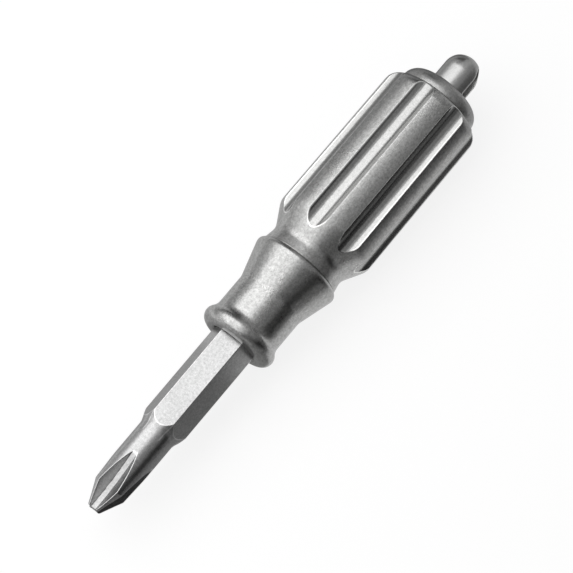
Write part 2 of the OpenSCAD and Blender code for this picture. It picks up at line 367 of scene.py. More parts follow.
def shader_group(name: str, inputs: dict[str, tuple[str, object]],
                 outputs: dict[str, str]) -> tuple[NodeSketch, bpy.types.Node, bpy.types.Node]:
    """Makes an empty node group.

    Args:
        name: The group's name.
        inputs: For each input its socket type and its first value.
        outputs: For each output its socket type.

    Returns:
        The sketch of its tree, its input node and its output node.
    """
    tree = bpy.data.node_groups.new(name, "ShaderNodeTree")
    for socket, (kind, value) in inputs.items():
        made = tree.interface.new_socket(socket, in_out="INPUT", socket_type=kind)
        if value is not None:
            made.default_value = value
    for socket, kind in outputs.items():
        tree.interface.new_socket(socket, in_out="OUTPUT", socket_type=kind)
    sketch = NodeSketch(tree)
    return sketch, sketch.add("NodeGroupInput"), sketch.add("NodeGroupOutput")


class Effects:
    """The effects that several finishes share, each built once as a node group."""

    def __init__(self) -> None:
        """Builds every group."""
        self.blast = self._blast()
        self.lines = self._lines()
        self.handling = self._handling()

    @staticmethod
    def _blast() -> bpy.types.NodeTree:
        """Fine dents of blasting: a height for the bump and a speckle for the colour.

        Returns:
            The group, with a height and a speckle from -1 to 1.
        """
        sketch, given, result = shader_group(
            "blast_dents",
            {"Place": ("NodeSocketVector", None), "Dents per metre": ("NodeSocketFloat", 6000.0)},
            {"Height": "NodeSocketFloat", "Speckle": "NodeSocketFloat"})
        place, scale = given.outputs["Place"], given.outputs["Dents per metre"]
        dents = sketch.add("TexNoise", {"Vector": place, "Scale": scale, "Detail": 3.0,
                                        "Roughness": 0.65})
        pits = sketch.add("TexVoronoi", {"Vector": place, "Scale": sketch.math("MULTIPLY", scale, 1.4)},
                          feature="SMOOTH_F1")
        coarse = sketch.add("TexNoise", {"Vector": place, "Scale": sketch.math("MULTIPLY", scale, 0.45),
                                         "Detail": 2.0, "Roughness": 0.5})
        speckle = sketch.blend(dents.outputs["Fac"], 0.6, coarse.outputs["Fac"], 0.4)
        return sketch.give(result,
                           Height=sketch.blend(dents.outputs["Fac"], 0.65, pits.outputs["Distance"], 0.35),
                           Speckle=sketch.ramp(speckle, 0.32, 0.68, -1.0, 1.0))

    @staticmethod
    def _lines() -> bpy.types.NodeTree:
        """Fine marks of a tool or a stone, stretched by the place that goes in: a height and a streak.

        Returns:
            The group, with a height and a streak from -1 to 1.
        """
        sketch, given, result = shader_group(
            "tool_marks", {"Place": ("NodeSocketVector", None), "Stretch": ("NodeSocketVector", None)},
            {"Height": "NodeSocketFloat", "Streak": "NodeSocketFloat"})
        place = sketch.add("VectorMath", {0: given.outputs["Place"], 1: given.outputs["Stretch"]},
                           operation="MULTIPLY").outputs[0]
        fine = sketch.add("TexNoise", {"Vector": place, "Scale": 1.0, "Detail": 4.0, "Roughness": 0.7})
        broad = sketch.add("TexNoise", {"Vector": place, "Scale": 0.21, "Detail": 2.0, "Roughness": 0.5})
        streak = sketch.blend(fine.outputs["Fac"], 0.5, broad.outputs["Fac"], 0.5)
        return sketch.give(result, Height=fine.outputs["Fac"],
                           Streak=sketch.ramp(streak, 0.35, 0.65, -1.0, 1.0))

    @staticmethod
    def _handling() -> bpy.types.NodeTree:
        """Soft smudges of hands: a mask from -1 to 1 that changes over several millimetres.

        Returns:
            The group, with the mask.
        """
        sketch, given, result = shader_group(
            "hand_smudges",
            {"Place": ("NodeSocketVector", None), "Smudges per metre": ("NodeSocketFloat", 140.0)},
            {"Smudge": "NodeSocketFloat"})
        cloud = sketch.add("TexNoise", {"Vector": given.outputs["Place"],
                                        "Scale": given.outputs["Smudges per metre"],
                                        "Detail": 3.0, "Roughness": 0.55, "Distortion": 0.6})
        return sketch.give(result, Smudge=sketch.ramp(cloud.outputs["Fac"], 0.3, 0.7, -1.0, 1.0))


class Marks(Enum):
    """The way that fine marks run: how much the pattern is stretched along x, y and z, per metre."""

    TURNED = (9000.0, 120.0, 120.0)
    GROUND_ALONG = (500.0, 9000.0, 9000.0)
    LAPPED = (2500.0, 2500.0, 2500.0)


@dataclass(frozen=True)
class Finish:
    """A finish: its tone, how rough it is, the dents, marks and smudges that it has, and a painted highlight
    along its edges.
    """

    name: str
    tone: tuple[float, float, float]
    roughness: float
    metallic: float = 1.0
    dents: float = 6000.0
    dent_depth: float = 0.0
    speckle: float = 0.0
    marks: Marks = Marks.TURNED
    mark_depth: float = 0.0
    streak: float = 0.0
    smudge: float = 0.03
    # How much brighter the colour is painted along edges: a painted highlight, not a property of the metal.
    edge_highlight_gain: float = 0.0
    flute_roughness: float | None = None
    flute_calm: float = 0.6
    least_roughness: float = 0.05

    def material(self, effects: Effects) -> bpy.types.Material:
        """Builds the finish as a material.

        Args:
            effects: The shared node groups.

        Returns:
            The material.
        """
        made = bpy.data.materials.new(self.name)
        made.use_nodes = True
        made.diffuse_color = (*self.tone, 1.0)
        sketch = NodeSketch(made.node_tree)
        place = sketch.add("TexCoord").outputs["Object"]
        blast = sketch.add("Group", node_tree=effects.blast)
        lines = sketch.add("Group", node_tree=effects.lines)
        hands = sketch.add("Group", node_tree=effects.handling)
        for node in (blast, lines, hands):
            sketch.tree.links.new(place, node.inputs["Place"])
        blast.inputs["Dents per metre"].default_value = self.dents
        lines.inputs["Stretch"].default_value = self.marks.value
        gain = sketch.blend(blast.outputs["Speckle"], self.speckle, lines.outputs["Streak"], self.streak)
        rough = sketch.math("ADD", sketch.math("MULTIPLY", hands.outputs["Smudge"], self.smudge),
                            self.roughness)
        depth: object = self.dent_depth
        if self.flute_roughness is not None:
            flute = sketch.add("Attribute", attribute_name="flute").outputs["Fac"]
            rougher = sketch.math("MULTIPLY", flute, self.flute_roughness - self.roughness)
            rough = sketch.math("ADD", rough, rougher)
            calm = sketch.ramp(flute, 0.0, 1.0, 1.0, 1.0 - self.flute_calm)
            gain = sketch.math("MULTIPLY", gain, calm)
            depth = sketch.math("MULTIPLY", calm, self.dent_depth)
        # Painted highlight: the colour is made brighter where the edge mask is set, so that edges look as if
        # they catch the light.
        if self.edge_highlight_gain:
            edge = sketch.add("Attribute", attribute_name="edge").outputs["Fac"]
            gain = sketch.math("ADD", gain, sketch.math("MULTIPLY", edge, self.edge_highlight_gain))
        level = sketch.math("ADD", gain, 1.0)
        tint = sketch.add("VectorMath", {0: self.tone, "Scale": level}, operation="SCALE").outputs[0]
        height = sketch.blend(blast.outputs["Height"], depth, lines.outputs["Height"], self.mark_depth)
        bump = sketch.add("Bump", {"Strength": 1.0, "Distance": MM, "Height": height})
        shader = sketch.add("BsdfPrincipled", {
            "Base Color": tint, "Metallic": self.metallic,
            "Roughness": sketch.math("MAXIMUM", rough, self.least_roughness),
            "Normal": bump.outputs["Normal"]})
        sketch.add("OutputMaterial", {"Surface": shader.outputs["BSDF"]})
        return made


STEEL = (0.42, 0.42, 0.415)

FINISHES: dict[str, Finish] = {
    "bit": Finish("ground_bit_steel", (0.43, 0.43, 0.43), 0.30, dents=6400, dent_depth=0.004,
                  speckle=0.28, marks=Marks.LAPPED, mark_depth=0.001, streak=0.03, edge_highlight_gain=0.9),
    "nose": Finish("blasted_nose_steel", STEEL, 0.29, dents=5200, dent_depth=0.022, speckle=0.38,
                   mark_depth=0.0006, streak=0.03),
    "grip": Finish("blasted_grip_steel", STEEL, 0.29, dents=5200, dent_depth=0.022, speckle=0.38,
                   mark_depth=0.0004, streak=0.02, edge_highlight_gain=1.1, flute_roughness=0.2),
    "cap": Finish("blasted_cap_steel", STEEL, 0.38, dents=5200, dent_depth=0.02, speckle=0.34,
                  mark_depth=0.0012, streak=0.04),
    "eye": Finish("satin_eye_steel", (0.5, 0.5, 0.495), 0.30, dents=6500, dent_depth=0.005,
                  speckle=0.12, mark_depth=0.0006, streak=0.03, edge_highlight_gain=0.95),
    "magnet": Finish("nickel_plating", (0.66, 0.64, 0.60), 0.16, dents=3000, dent_depth=0.001,
                     speckle=0.02),
    "backing": Finish("punched_plate_steel", (0.30, 0.30, 0.31), 0.42, dents=4000, dent_depth=0.003,
                      speckle=0.1, marks=Marks.GROUND_ALONG, mark_depth=0.001, streak=0.1),
    "spare": Finish("spare_bit_steel", (0.36, 0.36, 0.36), 0.36, dent_depth=0.004, speckle=0.1,
                    marks=Marks.GROUND_ALONG, mark_depth=0.001, streak=0.08),
    "washer": Finish("rolled_bronze", (0.55, 0.34, 0.15), 0.32, dents=5000, dent_depth=0.002,
                     speckle=0.06, mark_depth=0.002, streak=0.08),
    "collar": Finish("turned_collar_steel", (0.40, 0.40, 0.40), 0.30, dents=5000, dent_depth=0.002,
                     speckle=0.05, mark_depth=0.002, streak=0.1),
    "seal": Finish("seal_rubber_black", (0.012, 0.012, 0.012), 0.55, metallic=0.0, dents=9000,
                   dent_depth=0.002, speckle=0.12, smudge=0.08),
    "cushion": Finish("cushion_silicone_grey", (0.10, 0.10, 0.11), 0.62, metallic=0.0, dents=5000,
                      dent_depth=0.002, speckle=0.12, smudge=0.08),
}


Materials = dict[str, bpy.types.Material]


def build_materials() -> Materials:
    """Builds the shared effects and each finish once, and gives the materials by the finishes' keys."""
    effects = Effects()
    return {key: finish.material(effects) for key, finish in FINISHES.items()}


@dataclass(frozen=True)
class Role:
    """What a shaped piece is called, the CAD node that it stands for, its body, its slot and its finish."""

    piece: str
    node: str
    body: str
    slot: str
    finish: str


class ShapedPiece:
    """A piece that is shaped here in place of its CAD solid."""

    role: ClassVar[Role]

    def shape(self, bm: bmesh.types.BMesh) -> None:
        """Adds the surface of the piece to an empty mesh."""
        raise NotImplementedError

    def build(self, materials: Materials) -> bpy.types.Object:
        """Shapes the piece, closes its seams, turns its faces outward and dresses it.

        Args:
            materials: The materials by their keys.

        Returns:
            The piece.
        """
        bm = bmesh.new()
        self.shape(bm)
        bmesh.ops.remove_doubles(bm, verts=bm.verts[:], dist=MERGE_DISTANCE)
        bmesh.ops.recalc_face_normals(bm, faces=bm.faces[:])
        open_edges = sum(len(edge.link_faces) != 2 for edge in bm.edges)
        piece = linked(self.role.piece, bm, materials[self.role.finish])
        piece.data.shade_smooth()
        piece.data.set_sharp_from_angle(angle=math.radians(SHARP_DEG))
        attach(piece, self.role.body)
        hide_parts(self.role.node)
        LOG.info("%s: %d faces, %d open edges", piece.name, len(piece.data.polygons), open_edges)
        return piece


@dataclass
class NoseHolder(ShapedPiece):
    """The turned nose with its hexagon socket. Sizes are in millimetres."""

    role = Role("nose_turned", "nose_holder", "handle", "nose_steel", "nose")
    mouth: float = HEX_OUT + 0.3
    chamfer_depth: float = 0.6
    socket_in: float = HEX_IN + 0.05
    lip: float = 6.09
    lip_round: float = 1.45
    lip_back: float = 1.9493
    lip_foot: float = 2.9092
    foot_round: float = 1.9
    neck: float = 5.34
    neck_round: float = 2.0
    flare_foot: float = 8.4002
    flare_top: float = 13.908
    crest: float = 6.94
    crest_round: float = 1.7
    shoulder_round: float = 0.75
    spigot: float = 4.904
    groove: float = 4.054
    groove_front: float = NOSE_LENGTH + 0.4
    groove_back: float = NOSE_LENGTH + 1.4
    magnet_bore: float = 3.65
    magnet_seat: float = 19.05
    mesh_step: float = 0.2

    def profile(self) -> list[Point]:
        """Gives the outline from the mouth, round the outside, to the bottom of the magnet's bore.

        Returns:
            Its points, each a radius and a station.
        """
        return divided(outline([
            Corner(self.mouth, 0), Corner(self.lip, 0, self.lip_round),
            Corner(self.lip, self.lip_back, self.lip_round),
            Corner(self.neck, self.lip_foot, self.foot_round),
            Corner(self.neck, self.flare_foot, self.neck_round),
            Corner(self.crest, self.flare_top, self.crest_round),
            Corner(self.crest, NOSE_LENGTH, self.shoulder_round), Corner(self.spigot, NOSE_LENGTH),
            Corner(self.spigot, self.groove_front), Corner(self.groove, self.groove_front),
            Corner(self.groove, self.groove_back), Corner(self.spigot, self.groove_back),
            Corner(self.spigot, SPIGOT_END - CHAMFER), Corner(self.spigot - CHAMFER, SPIGOT_END),
            Corner(self.magnet_bore, SPIGOT_END), Corner(self.magnet_bore, self.magnet_seat)],
            closed=False), self.mesh_step)

    def hexagon(self, bm: bmesh.types.BMesh, back: float | None) -> list[bmesh.types.BMEdge]:
        """Draws one loop of the socket.

        Args:
            bm: The mesh that it is added to.
            back: Its station, or None for the front loop, which follows the round chamfer of the mouth.

        Returns:
            The loop's edges.
        """
        out = self.socket_in / math.cos(math.radians(HALF_SIDE_DEG))
        made = bmesh.ops.create_circle(bm, segments=HEX_SIDES, radius=out)["verts"]
        corner = math.atan2(made[0].co.y, made[0].co.x)
        edges = list({e for v in made for e in v.link_edges})
        split = bmesh.ops.subdivide_edges(bm, edges=edges, cuts=TURNS // HEX_SIDES - 1)["geom_split"]
        verts = list({v for g in split if isinstance(g, bmesh.types.BMEdge) for v in g.verts})
        for v in verts:
            radius, angle = v.co.to_2d().length, math.atan2(v.co.y, v.co.x) - corner
            depth = min(self.mouth - radius, self.chamfer_depth) if back is None else back
            v.co = on_axis(radius, depth, HEX_TURN + HALF_SIDE_DEG + math.degrees(angle))
        return list({e for v in verts for e in v.link_edges})

    def shape(self, bm: bmesh.types.BMesh) -> None:
        """Turns the nose and broaches its socket.

        Args:
            bm: The empty mesh that takes the surface.
        """
        lathe(bm, self.profile(), HEX_TURN + HALF_SIDE_DEG)
        rims = [e for e in bm.edges if e.is_boundary]
        mouth = [e for e in rims if e.verts[0].co.x > -MM]
        bottom = [e for e in rims if e.verts[0].co.x < -MM]
        front, back = self.hexagon(bm, None), self.hexagon(bm, self.magnet_seat - SEAT_AIR)
        for a, b in ((mouth, front), (front, back), (back, bottom)):
            bmesh.ops.bridge_loops(bm, edges=a + b)


@dataclass
class FlutedGrip(ShapedPiece):
    """The grip with its eight flutes, its waist and its bores. Sizes are in millimetres."""

    role = Role("grip_milled", "grip_body", "handle", "grip_steel", "grip")
    flutes: int = 8
    cutter: float = 2.0
    cutter_axis: float = 9.06
    floor: float = 7.06
    waist_front: float = 6.42
    waist_break: float = 0.07
    waist: float = 6.02
    face: float = 5.6
    cone_front: float = NOSE_LENGTH + 2.2
    waist_round: float = 2.0
    front: float = 8.05
    front_round: float = 2.5
    cone_deg: float = 29.1
    rear: float = 7.95
    rear_round: float = 1.9
    spigot_bore: float = 4.954
    skirt_bore: float = 5.646
    thread_back: float = GRIP_END - 1.6
    thread_lead: float = 0.1
    edge_break: float = 0.13
    least_break: float = 0.02
    steepest: float = 2.2
    widest: float = 2.6
    cutter_reach_share: float = 0.995
    cutter_room: float = 0.3
    uncut: float = 9.0
    flat_run: float = 1e-4
    face_slope: float = 9.0
    swing_front: float = NOSE_LENGTH + 0.6
    swing_length: float = 2.5
    mesh_step: float = 0.1
    edge_room: float = 0.1
    edge_lines: tuple[float, ...] = (-0.28, -0.19, -0.13, -0.08, -0.04, 0.0, 0.04, 0.08, 0.13, 0.19, 0.28)
    inside: tuple[float, ...] = (0.0, 0.2, 0.4, 0.58, 0.74, 0.88)
    outside: tuple[float, ...] = (0.2, 0.45, 0.7, 1.0)

    def outer(self) -> list[Point]:
        """Gives the outline of the outside, from the seam with the nose to the rear face.

        Returns:
            Its points, each a radius and a station.
        """
        cone_back = self.cone_front + (self.front - self.waist) / math.tan(math.radians(self.cone_deg))
        points = outline([
            Corner(self.face, NOSE_LENGTH), Corner(self.waist_front, NOSE_LENGTH, self.waist_break),
            Corner(self.waist, self.cone_front, self.waist_round),
            Corner(self.front, cone_back, self.front_round), Corner(self.rear, GRIP_END, self.rear_round),
            Corner(self.skirt_bore + CHAMFER, GRIP_END)], closed=False)
        return divided(points, self.mesh_step)

    def inner(self) -> list[Point]:
        """Gives the outline of the bores, from the rear face to the front one.

        Returns:
            Its points, each a radius and a station.
        """
        wall = self.skirt_bore + THREAD_DEPTH
        points = outline([
            Corner(self.skirt_bore + CHAMFER, GRIP_END), Corner(self.skirt_bore, GRIP_END - CHAMFER),
            Corner(self.skirt_bore, self.thread_back), Corner(wall, self.thread_back + self.thread_lead),
            Corner(wall, SKIRT_END + self.thread_lead), Corner(self.skirt_bore, SKIRT_END),
            Corner(self.skirt_bore, SKIRT_END - TURNED_CLEAR), Corner(CHAMBER, SKIRT_END - TURNED_CLEAR),
            Corner(CHAMBER, SPIGOT_END), Corner(self.spigot_bore, SPIGOT_END),
            Corner(self.spigot_bore, NOSE_LENGTH + CHAMFER),
            Corner(self.spigot_bore + CHAMFER, NOSE_LENGTH), Corner(self.face, NOSE_LENGTH)], closed=False)
        return points[1:]

    def columns(self, radius: float, station: float) -> np.ndarray:
        """Gives the angles of half a sector's columns, which follow the flute's edge where there is one.

        Args:
            radius: The land's radius at this station.
            station: The station.

        Returns:
            Angles in radians from the flute's middle to the land's middle.
        """
        half = math.pi / self.flutes
        c, q = self.cutter_axis, self.cutter
        least = (self.edge_lines[-1] + self.edge_room) / radius
        edge = max(least, math.acos(min(1.0, (c * c + radius * radius - q * q) / (2 * c * radius))))
        held = lanes(edge, np.array(self.edge_lines) / radius, self.inside, self.outside, half)
        free = np.linspace(0, half, len(held))
        share = min(1.0, max(0.0, (station - self.swing_front) / self.swing_length))
        share = share * share * (3 - 2 * share)
        return free + (held - free) * share

    def ring(self, radius: float, station: float, slope: float, fluted: bool) -> np.ndarray:
        """Gives one ring of the grip.

        Args:
            radius: The outline's radius.
            station: Its station.
            slope: How fast the radius changes along the axis.
            fluted: Whether the cutter reaches this ring.

        Returns:
            Points with the flute's mask and the edge's mask, which the finish uses for a painted highlight.
        """
        angle = self.columns(radius, station)
        land = np.full_like(angle, radius)
        flute = edge = np.zeros_like(angle)
        if fluted and radius > self.floor - self.cutter_room:
            across = self.cutter_axis * np.sin(angle)
            reach = self.cutter * self.cutter_reach_share
            sine = np.minimum(across, reach)
            room = np.sqrt(self.cutter ** 2 - sine ** 2)
            cut = self.cutter_axis * np.cos(angle) - room
            steep = np.abs(-sine + sine * self.cutter_axis * np.cos(angle) / room) / radius
            cut = np.where(across < reach, cut, radius + self.uncut)
            slant = np.hypot(np.minimum(steep, self.steepest), min(abs(slope), self.steepest))
            width = np.maximum(self.edge_break * np.minimum(slant, self.widest), self.least_break)
            flute = np.clip((land - cut) / width * 0.5 + 0.5, 0, 1)
            # Mask along the flute's edges: the finish paints a highlight there.
            edge = np.clip(1 - np.abs(land - cut) / width, 0, 1)
            land = soft_least(land, cut, width)
        half = np.column_stack([land * np.cos(angle), land * np.sin(angle), flute, edge])
        turn = full_turn(half, self.flutes, 0.0)
        return np.column_stack([np.full(len(turn), -station), turn])

    def shape(self, bm: bmesh.types.BMesh) -> None:
        """Mills the grip and cuts its thread.

        Args:
            bm: The empty mesh that takes the surface.
        """
        outer, inner = self.outer(), self.inner()
        radii, stations = np.array(outer).T
        run = np.gradient(stations)
        flat = np.abs(run) < self.flat_run
        slopes = np.where(flat, self.face_slope, np.gradient(radii) / np.where(flat, 1.0, run))
        rings = [self.ring(r, s, slope, s > self.cone_front)
                 for r, s, slope in zip(radii, stations, slopes)]
        rings += [self.ring(r, s, 0.0, False) for r, s in inner]
        loft(bm, rings, ("flute", "edge"))
        thread_ridge(bm, self.skirt_bore + THREAD_DEPTH, self.skirt_bore, SKIRT_END + self.thread_lead,
                     self.thread_back)


@dataclass
class DriverBit(ShapedPiece):
    """The cross-point bit with its hexagon shank. Sizes are in millimetres."""

    role = Role("bit_ground", "driver_bit", "bit", "bit_steel", "bit")
    tip: float = -31.0
    tail: float = 19.0
    shank: float = 2.86
    flat: float = 1.15
    point_deg: float = 26.0
    hex_from: float = -15.0
    lead_deg: float = 22.0
    lead_round: float = 2.0
    wheel: float = 19.3
    core: float = 0.62
    groove_half: float = 0.38
    flank_deg: float = 40.0
    wheel_at: float = -30.5
    notch_front: float = 8.65
    notch_back: float = 11.25
    notch: float = HEX_OUT - 0.42
    chamfer: float = 0.5
    edge_break: float = 0.1
    tip_break: float = 0.06
    plain_front: float = -21.2
    plain_back: float = -18.2
    cone_round: float = 0.3
    notch_round: float = 0.1
    bar_air: float = 0.02
    bar_front: float = -14.95
    mesh_step: float = 0.12
    side_step: float = 0.3
    side_run: float = 3.0
    wings: int = 4
    wing_half_deg: float = 45.0
    groove_edge: float = 0.34
    widest_sine: float = 0.999
    tip_slack: float = 1e-6
    groove_break: float = 1.2
    halvings: int = 40
    cross_columns: int = 37
    floor_columns: int = 17
    edge_room: float = 0.1
    edge_lines: tuple[float, ...] = (-0.14, -0.1, -0.06, -0.03, 0.0, 0.03, 0.06, 0.1, 0.14)
    hex_inside: tuple[float, ...] = (0.0, 0.15, 0.3, 0.45, 0.6, 0.72, 0.83, 0.92)
    hex_outside: tuple[float, ...] = (0.125, 0.25, 0.375, 0.5, 0.625, 0.75, 0.875, 1.0)

    def profile(self) -> list[Point]:
        """Gives the turned outline from the tip's rim to the tail's rim.

        Returns:
            Its points, each a radius and a station.
        """
        cone_end = self.tip + (self.shank - self.flat) / math.tan(math.radians(self.point_deg))
        lead_start = self.hex_from - (HEX_OUT - self.shank) / math.tan(math.radians(self.lead_deg))
        top = HEX_OUT + self.bar_air
        points = outline([
            Corner(self.flat, self.tip), Corner(self.shank, cone_end, self.cone_round),
            Corner(self.shank, lead_start, self.lead_round), Corner(HEX_OUT, self.hex_from),
            Corner(top, self.bar_front), Corner(top, self.notch_front - self.bar_air),
            Corner(self.notch, self.notch_front + self.chamfer, self.notch_round),
            Corner(self.notch, self.notch_back - self.chamfer, self.notch_round),
            Corner(top, self.notch_back + self.bar_air),
            Corner(top, self.tail - self.chamfer - self.bar_air),
            Corner(HEX_OUT - self.chamfer, self.tail)], closed=False)
        return divided(points, self.mesh_step, straight=self.side_run, straight_step=self.side_step)

    def hex_half(self, radius: float) -> np.ndarray:
        """Gives half a side of the hexagon where the turned outline has a radius.

        Args:
            radius: The outline's radius.

        Returns:
            Points along and across the side's middle, and the edge's mask, used for a painted highlight.
        """
        half = math.radians(HALF_SIDE_DEG)
        least = (self.edge_lines[-1] + self.edge_room) / radius
        edge = max(least, math.acos(min(1.0, HEX_IN / radius)))
        angle = np.minimum(lanes(min(edge, half), np.array(self.edge_lines) / radius, self.hex_inside,
                                 self.hex_outside, half), half)
        side = HEX_IN / np.cos(angle)
        other = HEX_IN / np.cos(2 * half - angle)
        width = np.full_like(angle, self.edge_break)
        # Mask at the hexagon's corners and its rounded ends: the finish paints a highlight there.
        at_corner = np.clip(1 - np.abs(side - other) / width, 0, 1)
        at_round = np.clip(1 - np.abs(np.minimum(side, other) - radius) / (0.5 * width), 0, 1)
        near = np.maximum(at_corner, at_round * (radius > HEX_IN))
        reach = soft_least(side, other, width)
        reach = soft_least(reach, np.full_like(angle, radius), 0.5 * width)
        return np.column_stack([reach * np.cos(angle), reach * np.sin(angle), near])

    def groove_reach(self, across: np.ndarray, station: float) -> np.ndarray:
        """Gives how far out the grinding wheel leaves the steel.

        Args:
            across: Distances from the groove's middle plane.
            station: The station.

        Returns:
            Distances from the axis, along the groove's middle.
        """
        centre = self.core + self.wheel
        height = np.maximum(0.0, across - self.groove_half) / math.tan(math.radians(self.flank_deg))
        room = (self.wheel - height) ** 2 - (station - self.wheel_at) ** 2
        return centre - np.sqrt(np.maximum(room, 0.0))

    def cross_half(self, radius: float, station: float) -> np.ndarray:
        """Gives half a groove and half a wing of the cross point.

        Args:
            radius: The turned outline's radius.
            station: The station.

        Returns:
            Points along and across the groove's middle, and the edge's mask, used for a painted highlight.
        """
        half = math.radians(self.wing_half_deg)
        low, high = 0.0, radius * math.sin(half)
        for _ in range(self.halvings):
            middle = (low + high) / 2
            if math.sqrt(radius ** 2 - middle ** 2) > self.groove_reach(np.array([middle]), station)[0]:
                low = middle
            else:
                high = middle
        edge_at = max(low, self.groove_edge)
        inner = np.linspace(0, edge_at + self.edge_lines[0], self.floor_columns)
        lines = edge_at + np.array(self.edge_lines[1:])
        last = math.asin(min(self.widest_sine, lines[-1] / radius))
        if last > half:
            lines = np.minimum(lines, radius * math.sin(half))
            last = half
        rest = self.cross_columns - len(inner) - len(lines)
        outer = radius * np.sin(last + (np.arange(rest) + 1) / rest * (half - last))
        across = np.concatenate([inner, lines, outer])
        round_at = np.sqrt(radius ** 2 - across ** 2)
        groove_at = self.groove_reach(across, station)
        width = np.full_like(across, self.groove_break * self.edge_break)
        along = soft_least(round_at, groove_at, width)
        # Mask along the groove's rims: the finish paints a highlight there.
        near = np.clip(1 - np.abs(round_at - groove_at) / width, 0, 1)
        tip = np.abs(np.arctan2(across, along) - half) < self.tip_slack
        along = np.where(tip, round_at, along)
        return np.column_stack([along, across, near])

    def ring(self, radius: float, station: float) -> np.ndarray:
        """Gives one ring of the bit.

        Args:
            radius: The turned outline's radius.
            station: The station.

        Returns:
            Points with the edge's mask, used for a painted highlight.
        """
        if station >= self.plain_back:
            turn = full_turn(self.hex_half(radius), HEX_SIDES, HEX_TURN)
        elif station <= self.plain_front:
            turn = full_turn(self.cross_half(radius, station), self.wings, HEX_TURN)
        else:
            share = (station - self.plain_front) / (self.plain_back - self.plain_front)
            ends = (full_turn(self.cross_half(radius, station), self.wings, HEX_TURN),
                    full_turn(self.hex_half(radius), HEX_SIDES, HEX_TURN))
            first, second = (np.unwrap(np.arctan2(end[:, 0], end[:, 1])) for end in ends)
            angle = first * (1 - share) + second * share
            turn = np.column_stack([radius * np.sin(angle), radius * np.cos(angle), np.zeros_like(angle)])
        return np.column_stack([np.full(len(turn), -station), turn])

    def shape(self, bm: bmesh.types.BMesh) -> None:
        """Grinds the bit, with a small break at the tip and both ends closed.

        Args:
            bm: The empty mesh that takes the surface.
        """
        rings = [self.ring(r, s) for r, s in self.profile()]
        keep = 1 - self.tip_break / self.flat
        front = rings[0] * np.array([1.0, keep, keep, 1.0])
        rings[0] = rings[0] + np.array([-self.tip_break, 0, 0, 0])
        hub = np.array([1.0, 0.0, 0.0, 0.0])
        middle = np.array([1.0, 0.5, 0.5, 0.0])
        back = rings[-1]
        loft(bm, [front * hub, front * middle, front, *rings, back * middle, back * hub], ("edge",))


@dataclass
class EndCap(ShapedPiece):
    """The crowned cap with its skirt, its seal groove and its seats. Sizes are in millimetres."""

    role = Role("cap_turned", "end_cap", "cap", "cap_steel", "cap")
    cap: float = 6.3
    crown_round: float = 2.1
    rim: float = 0.12
    skirt: float = 5.596
    groove: float = 4.746
    groove_front: float = GRIP_END - 1.4
    groove_back: float = GRIP_END - 0.4
    thread_back: float = GRIP_END - 1.6
    thread_lead: float = 0.1
    thread_front: float = SKIRT_END + 0.15
    floor: float = GRIP_END + 0.3
    collar_seat: float = 2.55
    collar_end: float = GRIP_END + 1.05
    stem_bore: float = 1.55
    washer_seat: float = 3.15
    washer_front: float = CROWN - 0.2
    washer_break: float = 0.04
    mesh_step: float = 0.15

    def shape(self, bm: bmesh.types.BMesh) -> None:
        """Turns the cap and cuts its thread.

        Args:
            bm: The empty mesh that takes the surface.
        """
        root = self.skirt - THREAD_DEPTH
        points = outline([
            Corner(self.stem_bore, self.washer_front), Corner(self.washer_seat, self.washer_front),
            Corner(self.washer_seat, CROWN, self.washer_break), Corner(self.cap, CROWN, self.crown_round),
            Corner(self.cap, GRIP_END, self.rim), Corner(self.skirt, GRIP_END),
            Corner(self.skirt, self.groove_back), Corner(self.groove, self.groove_back),
            Corner(self.groove, self.groove_front), Corner(self.skirt, self.groove_front),
            Corner(self.skirt, self.thread_back + self.thread_lead), Corner(root, self.thread_back),
            Corner(root, self.thread_front), Corner(root - self.thread_front + SKIRT_END, SKIRT_END),
            Corner(CHAMBER, SKIRT_END), Corner(CHAMBER, self.floor), Corner(self.collar_seat, self.floor),
            Corner(self.collar_seat, self.collar_end), Corner(self.stem_bore, self.collar_end)],
            closed=True)
        lathe(bm, divided(points, self.mesh_step))
        thread_ridge(bm, root, self.skirt, self.thread_front, self.thread_back)


